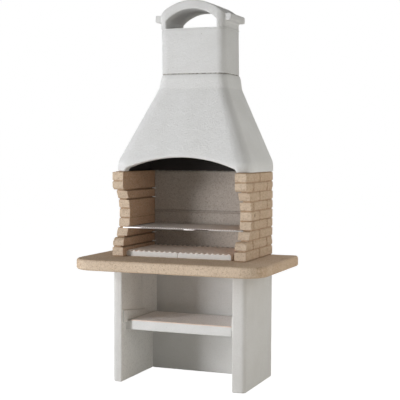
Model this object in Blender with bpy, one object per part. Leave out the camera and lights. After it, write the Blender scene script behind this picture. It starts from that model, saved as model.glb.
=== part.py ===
# Outdoor masonry barbecue with a moulded concrete base, brick-patterned pillars, hood and chimney.
# All lengths are in metres, +Z is up, the front faces -Y and the floor is z = 0.
import math

import bmesh
import bpy

# Base
base_width = 0.826
base_depth = 0.486
left_panel_thickness = 0.060
right_panel_thickness = 0.079
panel_height = 0.675
panel_corner_radius = 0.028
panel_arris = 0.005
back_panel_thickness = 0.035

# Shelf, and the ledge on each side panel whose groove holds the shelf's tongue
shelf_height = 0.305
shelf_thickness = 0.061
shelf_setback = 0.051
shelf_depth = 0.348
shelf_chamfer = 0.005
left_ledge_projection = 0.037
right_ledge_projection = 0.020
ledge_drop = 0.006
tongue_length = 0.010
tongue_thickness = 0.034
tongue_setback = 0.016

# Cheek above each ledge, and the splayed rear of each side panel
cheek_setback = 0.014
cheek_projection = 0.010
cheek_front_height = 0.064
cheek_rear_height = 0.022
cheek_length = 0.342
cheek_rear_chamfer = 0.012
splay_projection = 0.028
splay_start = 0.295

# Worktop
worktop_width = 1.158
worktop_thickness = 0.063
worktop_front_overhang = 0.235
worktop_rear_overhang = 0.006
worktop_front_radius = 0.137
worktop_rear_radius = 0.024
worktop_arris = 0.009

# Pillars
pillar_spread = 0.828
pillar_thickness = 0.070
course_pitch = 0.0549
course_count = 9
lower_course_count = 4
bed_joint = 0.007
joint_recess = 0.006
joint_slope = 0.001
head_joint = 0.011
head_recess = 0.005
brick_arris = 0.003
brick_roundings = {1: 0.028, 7: -0.022}
front_recesses = (
    (0.000, 0.000), (0.006, 0.008), (0.052, 0.073), (0.086, 0.092), (0.095, 0.095),
    (0.091, 0.082), (0.077, 0.051), (0.000, 0.000), (0.000, 0.000),
)
odd_head_places = (0.240,)
even_head_places = (0.126, 0.380)

# Slots in the pillars that carry the grill at five heights
slot_joints = (1, 2, 3, 6, 7)
slot_height = 0.010
slot_depth = 0.020

# Firebox
slab_thickness = 0.040
slab_split_height = 0.243
hearth_front = 0.042
hearth_width = 0.327
hearth_depth = 0.400
hearth_thickness = 0.030
hearth_rib_height = 0.007
hearth_rib_count = 10
hearth_rib_share = 0.55
hearth_shift = 0.016
hearth_split = 0.002

# Clips that hold the firebox slabs to the pillars
clip_width = 0.008
clip_reach = 0.012
clip_sheet = 0.0015
clip_tail = 0.010

# Hood
hood_overhang = 0.005
hood_setback = 0.018
hood_rear_overhang = 0.006
hood_corner_radius = 0.088
hood_rear_radius = 0.022
hood_skirt = 0.054
hood_kink = 0.022
hood_height = 0.571
hood_wall = 0.058
neck_width = 0.441
neck_front = 0.188
neck_height = 0.086
neck_draft = 0.010
neck_chamfer = 0.007
neck_chamfer_height = 0.021
neck_corner_radius = 0.058
arch_half_width = 0.340
arch_crown = 0.084
arch_radius = 0.883
arch_fillet = 0.018
mouth_rounding = 0.015
mouth_step = 0.0006

# Chimney shaft
shaft_width = 0.406
shaft_depth = 0.275
shaft_height = 0.261
shaft_rear_setback = 0.006
shaft_corner_radius = 0.048
shaft_rear_radius = 0.020
shaft_wall = 0.040
shaft_lean = 0.004

# Chimney cap
cap_width = 0.411
cap_shift = 0.006
cap_jamb_height = 0.049
cap_opening_width = 0.316
cap_opening_rise = 0.065
cap_ring = 0.050
cap_radius = 0.300
wing_reach = 0.034
wing_height = 0.041
wing_drop = 0.081
wing_front_gap = 0.028
wing_chamfer = 0.006

# Grill
grill_clearance = 0.004
rod_diameter = 0.007
wire_diameter = 0.004
wire_count = 45
front_rod_reach = 0.030
front_rod_place = 0.064
rear_rod_place = 0.430
middle_rod_share = 0.5
handle_place = 0.052
handle_width = 0.058
handle_reach = 0.024
handle_diameter = 0.005
weld_sink = 0.001
grill_joint = 3

# Fits
mortar_bed = 0.003
seat_gap = 0.0003
side_gap = 0.001
cut_overrun = 0.010
corner_steps = 8
kink_steps = 4
mouth_steps = 4
arch_steps = 14
rod_sides = 6
wire_sides = 4

# Places that follow from the driving sizes
worktop_depth = worktop_front_overhang + base_depth + worktop_rear_overhang
front_line = worktop_front_overhang - worktop_depth / 2
rear_line = front_line + base_depth
panel_inner = {-1: base_width / 2 - left_panel_thickness, 1: base_width / 2 - right_panel_thickness}
ledge_face = {-1: panel_inner[-1] - left_ledge_projection, 1: panel_inner[1] - right_ledge_projection}
ledge_top = shelf_height + shelf_thickness - ledge_drop
shelf_front = front_line + shelf_setback
shelf_rear = shelf_front + shelf_depth
tongue_front = shelf_front + tongue_setback
tongue_base = shelf_height + (shelf_thickness - tongue_thickness) / 2
worktop_base = panel_height + mortar_bed
worktop_top = worktop_base + worktop_thickness
pillar_outer = pillar_spread / 2
pillar_inner = pillar_outer - pillar_thickness
pillar_base = worktop_top + mortar_bed
upper_pillar_base = pillar_base + lower_course_count * course_pitch
pillar_top = pillar_base + course_count * course_pitch - mortar_bed
slab_front = rear_line - slab_thickness
hood_base = pillar_top + mortar_bed
hood_top = hood_base + hood_height
shaft_base = hood_top + mortar_bed
shaft_top = shaft_base + shaft_height
cap_base = shaft_top + mortar_bed
shaft_rear = rear_line - shaft_rear_setback
shaft_front = shaft_rear - shaft_depth

# Colours and finishes: base colour, roughness, metallic
finishes = {
    "white_concrete": ((0.62, 0.62, 0.60), 0.85, 0.0),
    "sand_concrete": ((0.56, 0.40, 0.27), 0.85, 0.0),
    "fire_concrete": ((0.40, 0.37, 0.33), 0.90, 0.0),
    "hearth_concrete": ((0.50, 0.46, 0.43), 0.90, 0.0),
    "mortar": ((0.45, 0.43, 0.40), 0.95, 0.0),
    "chrome": ((0.75, 0.75, 0.76), 0.20, 1.0),
    "galvanised_steel": ((0.60, 0.61, 0.62), 0.40, 1.0),
}


def clear_scene():
    for item in list(bpy.data.objects):
        bpy.data.objects.remove(item, do_unlink=True)


def finish_material(name):
    material = bpy.data.materials.get(name)
    if material is None:
        colour, roughness, metallic = finishes[name]
        material = bpy.data.materials.new(name)
        material.use_nodes = True
        shader = material.node_tree.nodes["Principled BSDF"]
        shader.inputs["Base Color"].default_value = (*colour, 1.0)
        shader.inputs["Roughness"].default_value = roughness
        shader.inputs["Metallic"].default_value = metallic
    return material


def add_piece(name, form, finish, place=(0, 0, 0)):
    bmesh.ops.recalc_face_normals(form, faces=form.faces)
    mesh = bpy.data.meshes.new(name)
    form.to_mesh(mesh)
    form.free()
    piece = bpy.data.objects.new(name, mesh)
    bpy.context.scene.collection.objects.link(piece)
    piece.location = place
    mesh.materials.append(finish_material(finish))
    return piece


def add_cutter(name, form, place=(0, 0, 0)):
    cutter = add_piece(name, form, "mortar", place)
    cutter.hide_render = True
    cutter.display_type = "WIRE"
    return cutter


def apply_boolean(piece, tool, operation):
    step = piece.modifiers.new(operation.lower(), "BOOLEAN")
    step.operation = operation
    step.solver = "EXACT"
    step.object = tool


def soften(piece, width, segments=2):
    step = piece.modifiers.new("soft arris", "BEVEL")
    step.width = width
    step.segments = segments
    step.limit_method = "ANGLE"
    step.angle_limit = math.radians(40)


def smooth(piece, angle=35):
    piece.data.shade_smooth()
    piece.data.set_sharp_from_angle(angle=math.radians(angle))


# A bar with flat faces, given by its lowest and highest corners
def bar_form(low, high):
    form = bmesh.new()
    bmesh.ops.create_cube(form, size=1.0)
    for vert in form.verts:
        for axis in range(3):
            share = vert.co[axis] + 0.5
            vert.co[axis] = low[axis] + share * (high[axis] - low[axis])
    return form


def add_bar(name, low, high, finish):
    centre = [(a + b) / 2 for a, b in zip(low, high)]
    half = [(b - a) / 2 for a, b in zip(low, high)]
    return add_piece(name, bar_form([-size for size in half], half), finish, centre)


# A closed solid through rings that all have the same number of points
def loft_form(rings):
    form = bmesh.new()
    loops = [[form.verts.new(point) for point in ring] for ring in rings]
    form.faces.new(list(reversed(loops[0])))
    form.faces.new(loops[-1])
    for lower, upper in zip(loops, loops[1:]):
        for index in range(len(lower)):
            after = (index + 1) % len(lower)
            form.faces.new((lower[index], lower[after], upper[after], upper[index]))
    return form


# A plan outline with its own corner radius at the front and at the rear
def plan_ring(half_width, front, rear, front_radius, rear_radius, height):
    corners = (
        (half_width - front_radius, front + front_radius, front_radius, -90),
        (half_width - rear_radius, rear - rear_radius, rear_radius, 0),
        (rear_radius - half_width, rear - rear_radius, rear_radius, 90),
        (front_radius - half_width, front + front_radius, front_radius, 180),
    )
    ring = []
    for x, y, radius, start in corners:
        for step in range(corner_steps + 1):
            angle = math.radians(start + 90 * step / corner_steps)
            ring.append((x + radius * math.cos(angle), y + radius * math.sin(angle), height))
    return ring


# An outline in the XZ plane, drawn out along Y
def drawn_form(outline, front, rear):
    return loft_form([[(x, y, z) for x, z in outline] for y in (rear, front)])


# Side panels of the base, with a grooved ledge for the shelf, a cheek above it and a splayed rear
def panel_ring(side, height, inset):
    outer = base_width / 2 - inset
    inner = panel_inner[side] + inset
    front = front_line + inset
    rear = rear_line - inset
    radius = panel_corner_radius - inset
    ring = [(inner, front, height)]
    for step in range(corner_steps + 1):
        angle = math.radians(-90 + 90 * step / corner_steps)
        x = outer - radius + radius * math.cos(angle)
        ring.append((x, front + radius + radius * math.sin(angle), height))
    ring += [(outer, rear, height), (inner, rear, height)]
    return [(side * x, y, z) for x, y, z in ring]


# Joins a bar to a side panel or cuts it out; X is measured towards that panel's own side
def join_bar(panel, part, side, low, high, operation):
    form = bar_form(low, high)
    bmesh.ops.scale(form, vec=(side, 1, 1), verts=form.verts)
    bmesh.ops.recalc_face_normals(form, faces=form.faces)
    apply_boolean(panel, add_cutter(f"{panel.name} {part}", form), operation)


def add_side_panel(name, side):
    face = panel_inner[side]
    rings = [
        panel_ring(side, 0, panel_arris),
        panel_ring(side, panel_arris, 0),
        panel_ring(side, panel_height, 0),
    ]
    panel = add_piece(name, loft_form(rings), "white_concrete")
    splay_end = rear_line - back_panel_thickness - seat_gap
    low = (ledge_face[side], shelf_front, shelf_height)
    join_bar(panel, "ledge", side, low, (face + cut_overrun, splay_end, ledge_top), "UNION")
    cheek_front = front_line + cheek_setback
    cheek_rear = cheek_front + cheek_length
    foot = ledge_top - cut_overrun
    outline = [
        (cheek_front, foot), (cheek_rear, foot),
        (cheek_rear + cheek_rear_chamfer, ledge_top + cheek_rear_height),
        (cheek_front, ledge_top + cheek_front_height),
    ]
    reach = (face + cut_overrun, face - cheek_projection)
    cheek = loft_form([[(side * x, y, z) for y, z in outline] for x in reach])
    apply_boolean(panel, add_cutter(name + " cheek", cheek), "UNION")
    wedge = [
        (face + cut_overrun, front_line + splay_start), (face, front_line + splay_start),
        (face - splay_projection, splay_end), (face + cut_overrun, splay_end),
    ]
    levels = (foot, panel_height - side_gap)
    splay = loft_form([[(side * x, y, z) for x, y in wedge] for z in levels])
    apply_boolean(panel, add_cutter(name + " splay", splay), "UNION")
    low = (ledge_face[side] - cut_overrun, tongue_front - side_gap, tongue_base - seat_gap)
    groove_top = tongue_base + tongue_thickness + side_gap
    high = (ledge_face[side] + tongue_length, rear_line + cut_overrun, groove_top)
    join_bar(panel, "groove", side, low, high, "DIFFERENCE")
    return panel


def add_base():
    add_side_panel("left_side_panel", -1)
    add_side_panel("right_side_panel", 1)
    left = side_gap - panel_inner[-1]
    right = panel_inner[1] - side_gap
    low = (left, rear_line - back_panel_thickness, 0)
    back = add_bar("back_panel", low, (right, rear_line, panel_height), "white_concrete")
    soften(back, panel_arris, 1)
    left = side_gap - ledge_face[-1]
    right = ledge_face[1] - side_gap
    high = (right, shelf_rear, shelf_height + shelf_thickness)
    shelf = add_bar("base_shelf", (left, shelf_front, shelf_height), high, "white_concrete")
    soften(shelf, shelf_chamfer, 1)
    low = (left - tongue_length, tongue_front, tongue_base)
    high = (right + tongue_length, shelf_rear - tongue_setback, tongue_base + tongue_thickness)
    apply_boolean(shelf, add_cutter("shelf tongues", bar_form(low, high)), "UNION")


def add_worktop():
    half = worktop_width / 2
    front = -worktop_depth / 2
    rings = []
    for level, inset in ((0, worktop_arris), (worktop_arris, 0),
                         (worktop_thickness - worktop_arris, 0), (worktop_thickness, worktop_arris)):
        rings.append(plan_ring(half - inset, front + inset, -front - inset,
                               worktop_front_radius - inset, worktop_rear_radius - inset, level))
    top = add_piece("worktop", loft_form(rings), "sand_concrete", (0, 0, worktop_base))
    smooth(top)


# Levels of one brick course, each with how far the arris or the rounding draws the faces in
def course_levels(low, high, rounding):
    plain = [(low, brick_arris), (low + brick_arris, 0), (high - brick_arris, 0), (high, brick_arris)]
    curve = []
    for step in range(corner_steps + 1):
        turn = math.pi / 2 * step / corner_steps
        curve.append((abs(rounding) * math.sin(turn), abs(rounding) * (1 - math.cos(turn))))
    if rounding > 0:
        return plain[:2] + [(high - rounding + rise, drop) for rise, drop in curve]
    if rounding < 0:
        return [(low - rounding - rise, drop) for rise, drop in reversed(curve)] + plain[2:]
    return plain


def course_rings(course, low, high):
    low_recess, high_recess = front_recesses[course]
    rings = []
    for level, drop in course_levels(low, high, brick_roundings.get(course, 0)):
        share = (level - low) / (high - low)
        recess = low_recess + share * (high_recess - low_recess)
        edge = min(drop, brick_arris)
        rings.append((level, front_line + recess + drop, rear_line - edge, pillar_outer - edge))
    return rings


def joint_front(joint):
    below = front_recesses[joint - 1][1] + max(brick_roundings.get(joint - 1, 0), 0)
    above = front_recesses[joint][0] + max(-brick_roundings.get(joint, 0), 0)
    return max(below, above)


def joint_rings(joint):
    front = front_line + joint_front(joint) + joint_recess
    reach = bed_joint / 2 - joint_slope
    level = joint_height(joint)
    return [(level + offset, front, rear_line - joint_recess, pillar_outer - joint_recess)
            for offset in (-reach, reach)]


def slot_form(height, side):
    low = (pillar_inner - cut_overrun, front_line - cut_overrun, height - slot_height / 2)
    high = (pillar_inner + slot_depth, slab_front + side_gap, height + slot_height / 2)
    form = bar_form(low, high)
    bmesh.ops.scale(form, vec=(side, 1, 1), verts=form.verts)
    return form


def head_form(place, bottom, top, side):
    middle = front_line + place
    low = (pillar_outer - head_recess, middle - head_joint / 2, bottom)
    high = (pillar_outer + cut_overrun, middle + head_joint / 2, top)
    form = bar_form(low, high)
    bmesh.ops.scale(form, vec=(side, 1, 1), verts=form.verts)
    return form


def joint_height(joint):
    return pillar_base + joint * course_pitch


# One pillar block, from its first course up to, but without, its last
def add_pillar_block(name, side, first, last):
    levels = []
    bottom = joint_height(first)
    top = joint_height(last) - mortar_bed
    for course in range(first, last):
        low = bottom
        high = top
        if course > first:
            low = joint_height(course) + bed_joint / 2
            levels += joint_rings(course)
        if course < last - 1:
            high = joint_height(course + 1) - bed_joint / 2
        levels += course_rings(course, low, high)
    rings = []
    for level, front, rear, outer in levels:
        rings.append([
            (side * pillar_inner, front, level), (side * outer, front, level),
            (side * outer, rear, level), (side * pillar_inner, rear, level),
        ])
    block = add_piece(name, loft_form(rings), "sand_concrete")
    for course in range(first, last):
        places = even_head_places if course % 2 else odd_head_places
        low = joint_height(course) - (cut_overrun if course == first else 0)
        high = joint_height(course + 1) + (cut_overrun if course == last - 1 else 0)
        for place in places:
            cutter = add_cutter(f"{name} head {course}", head_form(place, low, high, side))
            apply_boolean(block, cutter, "DIFFERENCE")
    for joint in slot_joints:
        if first < joint < last:
            cutter = add_cutter(f"{name} slot {joint}", slot_form(joint_height(joint), side))
            apply_boolean(block, cutter, "DIFFERENCE")


def add_pillars():
    for word, side in (("left", -1), ("right", 1)):
        add_pillar_block(word + "_pillar_lower", side, 0, lower_course_count)
        add_pillar_block(word + "_pillar_upper", side, lower_course_count, course_count)


def add_firebox():
    half = pillar_inner - side_gap
    split = pillar_base + slab_split_height
    low = (-half, slab_front, pillar_base)
    add_bar("lower_back_slab", low, (half, rear_line, split), "fire_concrete")
    low = (-half, slab_front, split + mortar_bed)
    add_bar("upper_back_slab", low, (half, rear_line, pillar_top), "fire_concrete")
    for word, side in (("left", -1), ("right", 1)):
        edges = sorted((side * hearth_split / 2, side * (hearth_split / 2 + hearth_width)))
        add_hearth_slab(word + "_hearth_slab", edges[0] - hearth_shift, edges[1] - hearth_shift)
        number = 0
        for joint in slot_joints:
            if joint != grill_joint:
                number += 1
                add_clip(f"{word}_slab_clip_{number}", side, joint_height(joint))


def add_hearth_slab(name, left, right):
    pitch = (right - left) / hearth_rib_count
    land = pitch * hearth_rib_share
    outline = [(left, 0), (right, 0), (right, hearth_thickness)]
    for index in reversed(range(hearth_rib_count)):
        middle = left + (index + 0.5) * pitch
        for x, level in ((middle + land / 2, 0), (middle + land / 4, hearth_rib_height),
                         (middle - land / 4, hearth_rib_height), (middle - land / 2, 0)):
            outline.append((x, hearth_thickness + level))
    outline.append((left, hearth_thickness))
    front = front_line + hearth_front
    form = drawn_form(outline, front, front + hearth_depth)
    add_piece(name, form, "hearth_concrete", (0, 0, worktop_top + seat_gap))


# An angle clip: its tail sits in the end of a slot and its lip holds the slab
def add_clip(name, side, height):
    rear = slab_front - seat_gap
    front = rear - clip_sheet
    lip = pillar_inner - clip_reach
    tail = pillar_inner + clip_tail
    outline = [
        (lip, front), (tail - clip_sheet, front), (tail - clip_sheet, front - clip_tail),
        (tail, front - clip_tail), (tail, rear), (lip, rear),
    ]
    levels = (height - clip_width / 2, height + clip_width / 2)
    form = loft_form([[(side * x, y, z) for x, y in outline] for z in levels])
    add_piece(name, form, "galvanised_steel")


def hood_section(height, half, front, front_radius, rear_radius, inset=0):
    rear = rear_line + hood_rear_overhang - inset
    return plan_ring(half - inset, front + inset, rear, max(front_radius - inset, panel_arris),
                     max(rear_radius - inset, panel_arris), height)


# How far the hood's outside has tapered at a height: 0 on the skirt, 1 at the neck
def hood_taper(height):
    rise = hood_height - neck_height - hood_skirt
    if height >= hood_skirt + hood_kink:
        return (height - hood_skirt) / rise
    share = max(height - hood_skirt + hood_kink, 0) / (2 * hood_kink)
    return share ** 2 * hood_kink / rise


def hood_front(height):
    front = front_line + hood_setback
    return front + (front_line + neck_front - front) * hood_taper(height)


# Heights, half widths, fronts and radii of the hood's outside, from its foot to its top
def hood_stations():
    foot = pillar_outer + hood_overhang
    neck = neck_width / 2
    heights = [0]
    for step in range(kink_steps + 1):
        heights.append(hood_skirt + hood_kink * (2 * step / kink_steps - 1))
    heights.append(hood_height - neck_height)
    stations = []
    for height in heights:
        half = foot - (foot - neck) * hood_taper(height)
        stations.append((height, half, hood_front(height), hood_corner_radius))
    stations[-1] = (*stations[-1][:3], neck_corner_radius)
    half = neck - neck_draft
    line = front_line + neck_front + neck_draft
    stations += [
        (hood_height - neck_chamfer_height, half, line, neck_corner_radius),
        (hood_height, half - neck_chamfer, line + neck_chamfer, neck_corner_radius),
    ]
    return stations


def add_hood():
    outside = []
    inside = []
    for height, half, front, radius in hood_stations():
        outside.append(hood_section(height, half, front, radius, hood_rear_radius))
        inside.append(hood_section(height, half, front, radius, hood_rear_radius, hood_wall))
    hood = add_piece("hood", loft_form(outside), "white_concrete", (0, 0, hood_base))
    drop = [(x, y, -cut_overrun) for x, y, z in inside[0]]
    flue_half = shaft_width / 2 - shaft_wall
    flue = [
        plan_ring(flue_half, shaft_front + shaft_wall, shaft_rear - shaft_wall, panel_arris,
                  panel_arris, level)
        for level in (hood_height - neck_height, hood_height + cut_overrun)
    ]
    body = inside[:kink_steps + 2]
    cavity = add_cutter("hood cavity", loft_form([drop] + body + flue), (0, 0, hood_base))
    apply_boolean(hood, cavity, "DIFFERENCE")
    apply_boolean(hood, add_cutter("hood mouth", mouth_form(), (0, 0, hood_base)), "DIFFERENCE")
    smooth(hood)


# The cutter of the hood's mouth, flared at the front so that its arris is round
def mouth_form():
    stations = [(-cut_overrun, mouth_rounding)]
    for step in range(mouth_steps + 1):
        turn = math.pi / 2 * step / mouth_steps
        depth = mouth_step + mouth_rounding * (1 - math.cos(turn))
        stations.append((depth, mouth_rounding * (1 - math.sin(turn))))
    stations.append((2 * hood_wall, 0))
    return loft_form([[(x, hood_front(z) + depth, z) for x, z in arch_outline(offset)]
                      for depth, offset in reversed(stations)])


# The mouth of the hood: a flat segmental arch whose ends turn down in small fillets
def arch_outline(offset):
    radius = arch_radius + offset
    half = arch_half_width + offset
    fillet = arch_fillet + offset
    centre = arch_crown - arch_radius
    fillet_x = half - fillet
    fillet_z = centre + math.sqrt((radius - fillet) ** 2 - fillet_x ** 2)
    end = math.asin(fillet_x / (radius - fillet))
    right = [(half, -cut_overrun)]
    for step in range(corner_steps + 1):
        turn = (math.pi / 2 - end) * step / corner_steps
        right.append((fillet_x + fillet * math.cos(turn), fillet_z + fillet * math.sin(turn)))
    crown = []
    for step in range(1, arch_steps):
        turn = end - 2 * end * step / arch_steps
        crown.append((radius * math.sin(turn), centre + radius * math.cos(turn)))
    left = [(-x, z) for x, z in reversed(right)]
    return right + crown + left


def add_shaft():
    half = shaft_width / 2
    outside = []
    for level, lean in ((0, 0), (shaft_height, shaft_lean)):
        ring = plan_ring(half, shaft_front, shaft_rear, shaft_corner_radius, shaft_rear_radius, level)
        outside.append([(x - lean, y, z) for x, y, z in ring])
    shaft = add_piece("chimney_shaft", loft_form(outside), "white_concrete", (0, 0, shaft_base))
    inside = [plan_ring(half - shaft_wall, shaft_front + shaft_wall, shaft_rear - shaft_wall,
                        panel_arris, panel_arris, level)
              for level in (-cut_overrun, shaft_height + cut_overrun)]
    apply_boolean(shaft, add_cutter("shaft flue", loft_form(inside), (0, 0, shaft_base)), "DIFFERENCE")
    smooth(shaft)


# Points along a flat arch of the given half width, from right to left
def arch_points(half, crown, radius):
    end = math.asin(half / radius)
    points = []
    for step in range(arch_steps + 1):
        turn = end - 2 * end * step / arch_steps
        points.append((radius * math.sin(turn), crown - radius + radius * math.cos(turn)))
    return points


# The cap is a barrel arch on two jambs, open to the front and rear, with an eaves bar on each side
def add_cap():
    half = cap_width / 2
    place = (-cap_shift, 0, cap_base)
    mouth = cap_opening_width / 2
    mouth_crown = cap_jamb_height + cap_opening_rise
    mouth_radius = (mouth ** 2 + cap_opening_rise ** 2) / (2 * cap_opening_rise)
    crown = mouth_crown + cap_ring
    body = [plan_ring(half, shaft_front, shaft_rear, shaft_corner_radius, shaft_rear_radius, level)
            for level in (0, crown + cut_overrun)]
    cap = add_piece("chimney_cap", loft_form(body), "white_concrete", place)
    wide = half + side_gap
    front = shaft_front - cut_overrun
    rear = shaft_rear + cut_overrun
    barrel = [(wide, -cut_overrun)] + arch_points(wide, crown, cap_radius) + [(-wide, -cut_overrun)]
    cutter = add_cutter("cap barrel", drawn_form(barrel, front, rear), place)
    apply_boolean(cap, cutter, "INTERSECT")
    for word, side in (("left", -1), ("right", 1)):
        inner = half - cut_overrun
        outer = half + wing_reach
        top = crown - wing_drop
        bottom = top - wing_height
        wing = [
            (inner, bottom), (outer - wing_chamfer, bottom), (outer, bottom + wing_chamfer),
            (outer, top - wing_chamfer), (outer - wing_chamfer, top), (inner, top),
        ]
        form = drawn_form([(side * x, z) for x, z in wing], shaft_front + wing_front_gap,
                          shaft_rear - side_gap)
        apply_boolean(cap, add_cutter(f"cap {word} wing", form, place), "UNION")
    opening = [(mouth, -cut_overrun)] + arch_points(mouth, mouth_crown, mouth_radius)
    opening.append((-mouth, -cut_overrun))
    cutter = add_cutter("cap mouth", drawn_form(opening, front, rear), place)
    apply_boolean(cap, cutter, "DIFFERENCE")
    smooth(cap)


def rod_form(start, end, diameter, sides):
    form = bmesh.new()
    bmesh.ops.create_cone(form, cap_ends=True, segments=sides, radius1=diameter / 2,
                          radius2=diameter / 2, depth=math.dist(start, end))
    along_y = abs(end[1] - start[1]) > abs(end[0] - start[0])
    for vert in form.verts:
        x, y, z = vert.co
        vert.co = (x, z, -y) if along_y else (z, -y, x)
    middle = [(a + b) / 2 for a, b in zip(start, end)]
    bmesh.ops.translate(form, vec=middle, verts=form.verts)
    return form


def joined(forms):
    whole = bmesh.new()
    for form in forms:
        mesh = bpy.data.meshes.new("rod")
        form.to_mesh(mesh)
        form.free()
        whole.from_mesh(mesh)
        bpy.data.meshes.remove(mesh)
    return whole


# The grill: a rod frame, front-to-back wires welded on it, and a wire loop to pull it by
def add_grill():
    radius = rod_diameter / 2
    height = joint_height(grill_joint) - slot_height / 2 + seat_gap + radius
    origin = (0, front_line + front_rod_place, height)
    side_place = pillar_inner + slot_depth - grill_clearance - radius
    length = rear_rod_place - front_rod_place
    front_half = pillar_inner + front_rod_reach
    front_rod = rod_form((-front_half, 0, 0), (front_half, 0, 0), rod_diameter, rod_sides)
    frame = add_piece("grill", front_rod, "chrome", origin)

    def weld(name, forms):
        apply_boolean(frame, add_cutter(name, joined(forms), origin), "UNION")

    weld("side rods", [rod_form((x, 0, 0), (x, length, 0), rod_diameter, rod_sides)
                       for x in (-side_place, side_place)])
    cross_half = side_place + radius / 4
    weld("cross rods", [rod_form((-cross_half, y, 0), (cross_half, y, 0), rod_diameter, rod_sides)
                        for y in (length * middle_rod_share, length)])
    field = pillar_inner - grill_clearance
    pitch = 2 * field / (wire_count + 1)
    lift = radius + wire_diameter / 2 - weld_sink
    wires = []
    for index in range(wire_count):
        x = (index + 1) * pitch - field
        wires.append(rod_form((x, -radius, lift), (x, length + radius, lift), wire_diameter, wire_sides))
    weld("wires", wires)
    edges = (handle_place - handle_width / 2, handle_place + handle_width / 2)
    weld("handle arms", [rod_form((x, -handle_reach, 0), (x, 0, 0), handle_diameter, rod_sides)
                         for x in edges])
    overlap = handle_diameter / 4
    start = (edges[0] - overlap, -handle_reach, 0)
    end = (edges[1] + overlap, -handle_reach, 0)
    weld("handle bar", [rod_form(start, end, handle_diameter, rod_sides)])


def add_mortar():
    bed = mortar_bed - 2 * seat_gap
    inset = joint_recess + side_gap
    for word, side in (("left", -1), ("right", 1)):
        inner = panel_inner[side] + side_gap
        edges = sorted((side * inner, side * (base_width / 2 - panel_corner_radius)))
        low = (edges[0], front_line + panel_corner_radius, panel_height + seat_gap)
        high = (edges[1], rear_line - side_gap, panel_height + seat_gap + bed)
        add_bar(word + "_panel_mortar", low, high, "mortar")
        edges = sorted((side * (pillar_inner + side_gap), side * (pillar_outer - inset)))
        levels = {
            "foot": (worktop_top, front_recesses[0][0]),
            "waist": (upper_pillar_base - mortar_bed, joint_front(lower_course_count)),
            "head": (pillar_top, hood_setback + joint_recess),
        }
        for place, (level, recess) in levels.items():
            front = front_line + recess + inset
            low = (edges[0], front, level + seat_gap)
            high = (edges[1], rear_line - inset, level + seat_gap + bed)
            add_bar(f"{word}_pillar_{place}_mortar", low, high, "mortar")
    left = 2 * side_gap - panel_inner[-1]
    right = panel_inner[1] - 2 * side_gap
    low = (left, rear_line - back_panel_thickness + panel_arris, panel_height + seat_gap)
    high = (right, rear_line - panel_arris, panel_height + seat_gap + bed)
    add_bar("back_panel_mortar", low, high, "mortar")
    half = pillar_inner - side_gap
    slab_levels = {
        "foot": worktop_top,
        "waist": pillar_base + slab_split_height,
        "head": pillar_top,
    }
    for place, level in slab_levels.items():
        low = (-half, slab_front + side_gap, level + seat_gap)
        high = (half, rear_line - side_gap, level + seat_gap + bed)
        add_bar(f"back_slab_{place}_mortar", low, high, "mortar")
    for name, level in (("shaft_mortar", hood_top), ("cap_mortar", shaft_top)):
        add_ring_bed(name, level + seat_gap, bed)


# A bed of mortar round the flue
def add_ring_bed(name, level, bed):
    inset = side_gap * 4
    half = shaft_width / 2
    outside = [plan_ring(half - inset, shaft_front + inset, shaft_rear - inset,
                         shaft_corner_radius, shaft_rear_radius, up) for up in (0, bed)]
    ring = add_piece(name, loft_form(outside), "mortar", (0, 0, level))
    inner = half - shaft_wall + side_gap
    inside = [plan_ring(inner, shaft_front + shaft_wall - side_gap, shaft_rear - shaft_wall + side_gap,
                        panel_arris, panel_arris, up) for up in (-cut_overrun, bed + cut_overrun)]
    apply_boolean(ring, add_cutter(name + " flue", loft_form(inside), (0, 0, level)), "DIFFERENCE")


clear_scene()
add_base()
add_worktop()
add_pillars()
add_firebox()
add_hood()
add_shaft()
add_cap()
add_grill()
add_mortar()
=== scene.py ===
import math

import bmesh
import bpy
import numpy as np
from mathutils import Matrix, Vector, noise


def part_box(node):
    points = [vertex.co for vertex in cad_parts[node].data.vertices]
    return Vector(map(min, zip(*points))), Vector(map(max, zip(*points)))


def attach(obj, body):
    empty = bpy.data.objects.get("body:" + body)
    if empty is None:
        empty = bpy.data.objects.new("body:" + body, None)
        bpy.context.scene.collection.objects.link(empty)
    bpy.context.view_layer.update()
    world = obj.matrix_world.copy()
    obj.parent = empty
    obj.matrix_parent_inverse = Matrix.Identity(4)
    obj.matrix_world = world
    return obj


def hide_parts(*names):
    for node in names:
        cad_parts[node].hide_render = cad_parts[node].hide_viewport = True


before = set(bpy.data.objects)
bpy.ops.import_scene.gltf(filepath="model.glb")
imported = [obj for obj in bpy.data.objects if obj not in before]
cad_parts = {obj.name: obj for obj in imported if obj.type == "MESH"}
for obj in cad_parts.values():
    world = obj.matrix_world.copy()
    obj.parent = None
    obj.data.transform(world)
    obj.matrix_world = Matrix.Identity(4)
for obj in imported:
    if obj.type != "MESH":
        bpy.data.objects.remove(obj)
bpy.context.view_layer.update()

# The outdoor barbecue as it looks: castings of white and sand concrete, mortar, a wire grill.
# Metres, +Z up, the front faces -Y.


# Materials

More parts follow.
